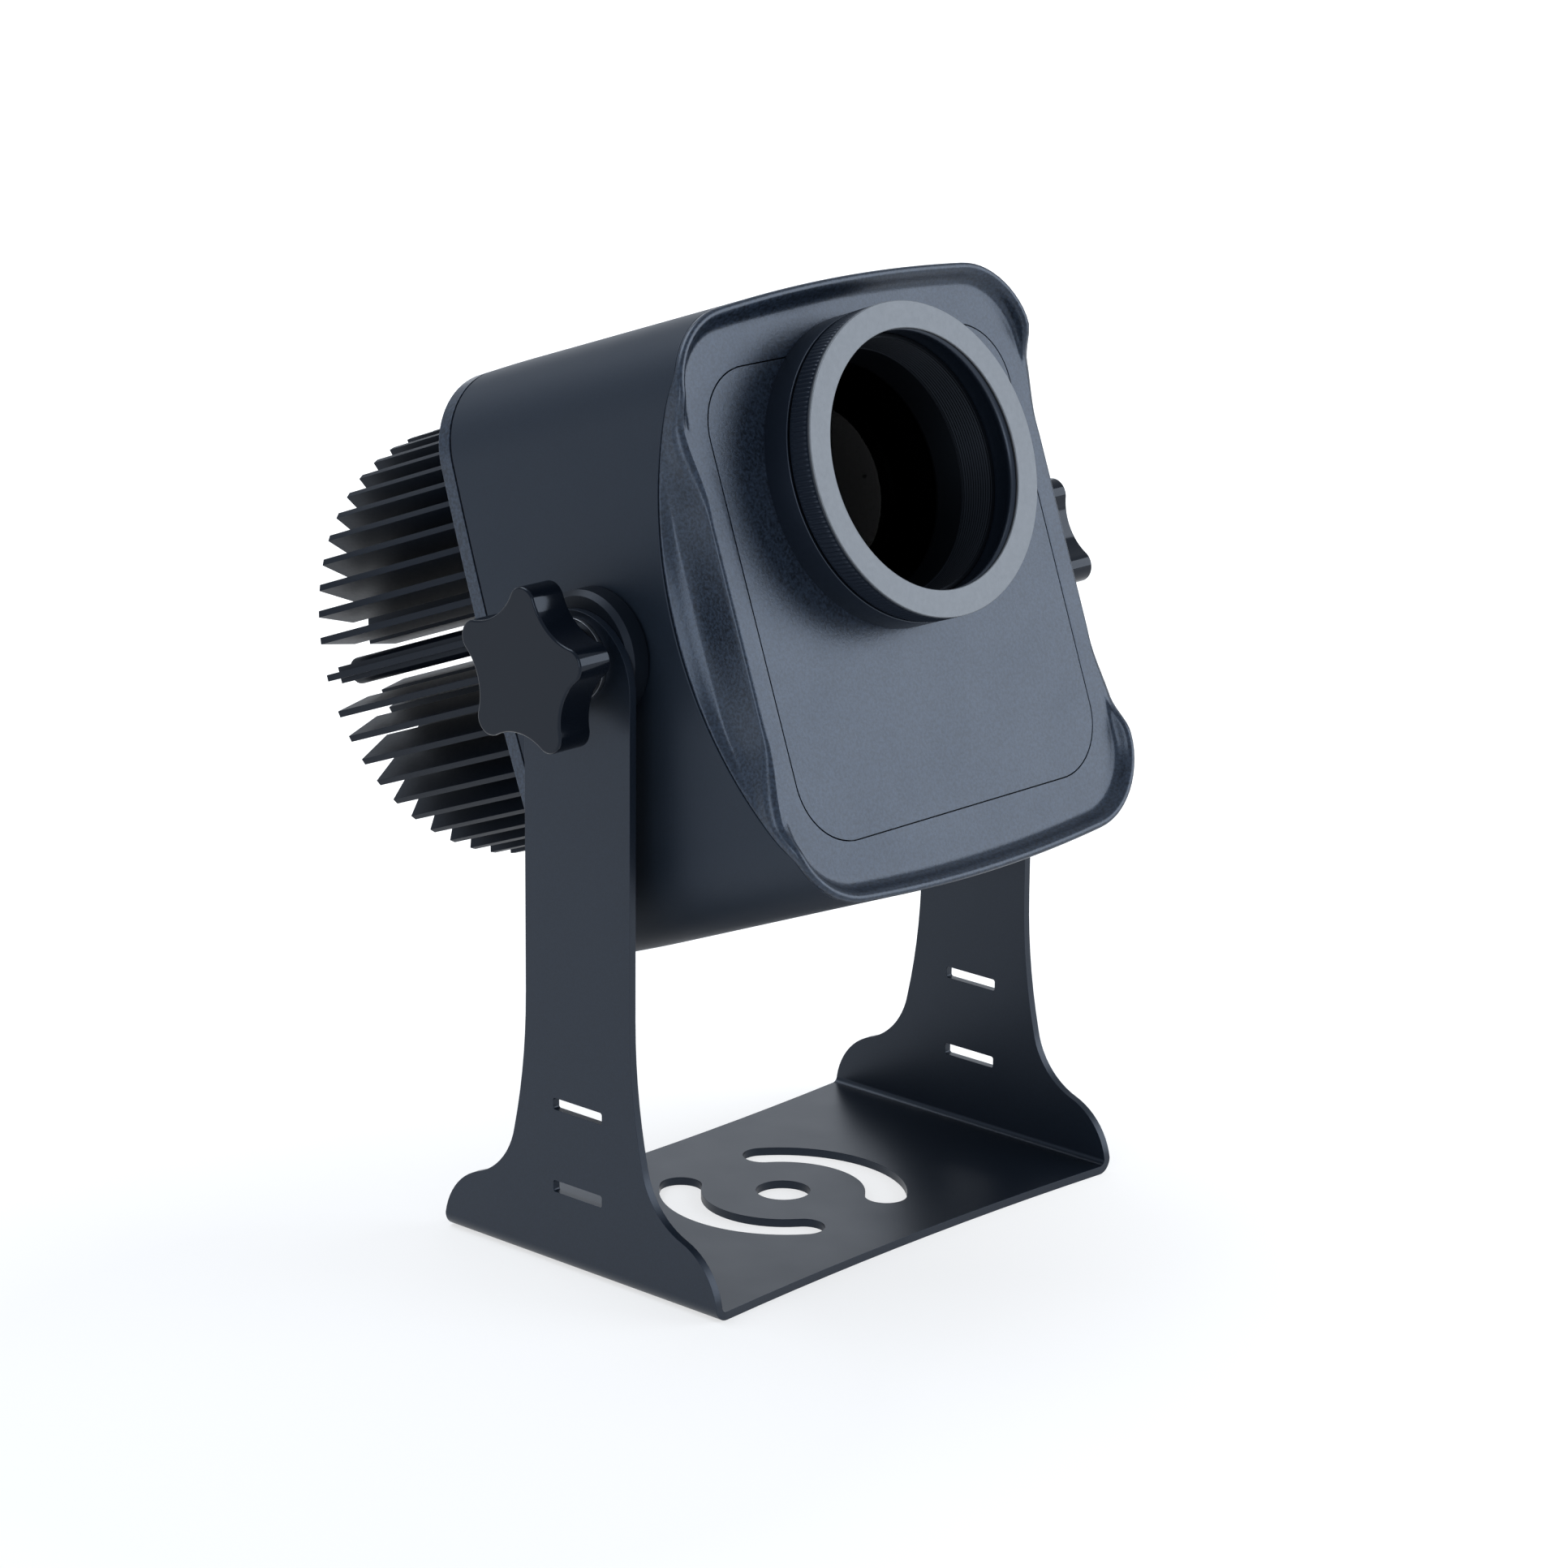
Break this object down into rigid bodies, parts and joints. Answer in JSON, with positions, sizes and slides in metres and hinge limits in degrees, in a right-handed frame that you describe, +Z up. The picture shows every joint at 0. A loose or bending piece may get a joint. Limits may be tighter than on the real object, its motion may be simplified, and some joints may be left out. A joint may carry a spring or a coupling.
{
  "type": "gobo projector",
  "caption": "Compact image projector head with a focus ring, finned heat sink and star knobs, tilting in a U-shaped steel bracket.",
  "frame": {"origin": "centre of the bracket's fixing hole on the underside of its base", "axes": "+Z up from the base, X along the tilt axis across the two arms, -Y towards the lens side"},
  "size_m": [0.173, 0.1811, 0.2244],
  "materials": {
    "bracket_paint": "satin dark slate powder coat on steel sheet",
    "body_paint": "smooth matt dark slate paint on an aluminium extrusion",
    "cover_paint": "fine textured dark grey powder coat on cast aluminium",
    "black_aluminium": "black anodised turned aluminium",
    "blasted_aluminium": "pale bead-blasted anodised aluminium",
    "plain_aluminium": "plain milled aluminium",
    "sink_aluminium": "satin black painted cast aluminium",
    "steel_screw": "bright zinc-plated steel",
    "insert_brass": "turned brass",
    "black_plastic": "matt black moulded plastic",
    "knob_plastic": "glossy black moulded plastic",
    "gland_plastic": "black moulded plastic",
    "seal_rubber": "black silicone rubber",
    "lens_glass": "clear coated optical glass",
    "gobo_glass": "clear glass with a plain dark printed pattern",
    "led_phosphor": "yellow phosphor",
    "circuit_board": "green solder resist",
    "coil_copper": "enamelled copper wire",
    "component_plastic": "dark moulded plastic",
    "terminal_plastic": "green moulded plastic"
  },
  "bodies": {
    "bracket": {"yoke": "bracket_paint"},
    "head": {"tilt_discs": "black_plastic", "pivot_inserts": "insert_brass", "body_tube": "body_paint", "front_gasket": "seal_rubber", "front_cover": "cover_paint", "front_panel": "cover_paint", "panel_screws": "steel_screw", "lens_collar": "black_aluminium", "collar_sleeve": "black_aluminium", "collar_screws": "steel_screw", "guide_rods": "steel_screw", "gate_plate": "black_aluminium", "gate_posts": "steel_screw", "gate_screws": "steel_screw", "condenser_holder": "black_aluminium", "condenser_screws": "steel_screw", "condenser_lens": "lens_glass", "condenser_spacer": "black_aluminium", "field_lens": "lens_glass", "condenser_ring": "black_aluminium", "led_board": "plain_aluminium", "led_emitter": "led_phosphor", "rear_gasket": "seal_rubber", "rear_cover": "cover_paint", "sink_gasket": "seal_rubber", "heat_sink": "sink_aluminium", "sink_screws": "steel_screw", "tie_screws": "steel_screw", "driver_board": "circuit_board", "board_posts": "steel_screw", "board_screws": "steel_screw", "driver_coil": "coil_copper", "driver_capacitors": "component_plastic", "driver_transformer": "component_plastic", "terminal_block": "terminal_plastic", "gland_body": "gland_plastic", "gland_cap": "gland_plastic", "gland_seal": "seal_rubber", "gland_nut": "gland_plastic", "vent_plug": "gland_plastic"},
    "focus": {"focus_ring": "black_aluminium", "trim_ring": "blasted_aluminium", "focus_clip": "steel_screw"},
    "lens": {"lens_tube": "black_aluminium", "front_lens": "lens_glass", "lens_spacer": "black_aluminium", "rear_lens": "lens_glass", "lens_retainer": "black_aluminium"},
    "picture": {"gobo_holder": "black_aluminium", "gobo": "gobo_glass", "gobo_clip": "steel_screw"},
    "left_clamp": {"left_washer": "steel_screw"},
    "left_handle": {"left_stud": "steel_screw", "left_knob": "knob_plastic"},
    "right_clamp": {"right_washer": "steel_screw"},
    "right_handle": {"right_stud": "steel_screw", "right_knob": "knob_plastic"}
  },
  "joints": [
    {"name": "head_tilt", "type": "hinge", "parent": "bracket", "child": "head", "pos_m": [0, 0, 0.1454], "axis": [1, 0, 0], "range_deg": [-70, 110]},
    {"name": "focus_turn", "type": "hinge", "parent": "head", "child": "focus", "pos_m": [0, -0.03485, 0.18416], "axis": [0, -0.9397, 0.342], "range_deg": [-90, 90]},
    {"name": "lens_slide", "type": "slide", "parent": "head", "child": "lens", "axis": [0, -0.9397, 0.342], "range_m": [-0.0035, 0.0035]},
    {"name": "picture_turn", "type": "hinge", "parent": "head", "child": "picture", "pos_m": [0, 0.00932, 0.16808], "axis": [0, -0.9397, 0.342], "range_deg": [-180, 180]},
    {"name": "left_clamp_slide", "type": "slide", "parent": "head", "child": "left_clamp", "axis": [-1, 0, 0], "range_m": [0, 0.001]},
    {"name": "left_knob_turn", "type": "hinge", "parent": "left_clamp", "child": "left_handle", "pos_m": [-0.08, 0, 0.1454], "axis": [-1, 0, 0], "range_deg": [0, 360]},
    {"name": "right_clamp_slide", "type": "slide", "parent": "head", "child": "right_clamp", "axis": [1, 0, 0], "range_m": [0, 0.001]},
    {"name": "right_knob_turn", "type": "hinge", "parent": "right_clamp", "child": "right_handle", "pos_m": [0.08, 0, 0.1454], "axis": [1, 0, 0], "range_deg": [0, 360]}
  ],
  "couplings": [
    {"joint": "lens_slide", "follows": "focus_turn", "m_per_rad": 0.0022282},
    {"joint": "left_knob_turn", "follows": "left_clamp_slide", "rad_per_m": 6283.2},
    {"joint": "right_knob_turn", "follows": "right_clamp_slide", "rad_per_m": 6283.2}
  ]
}
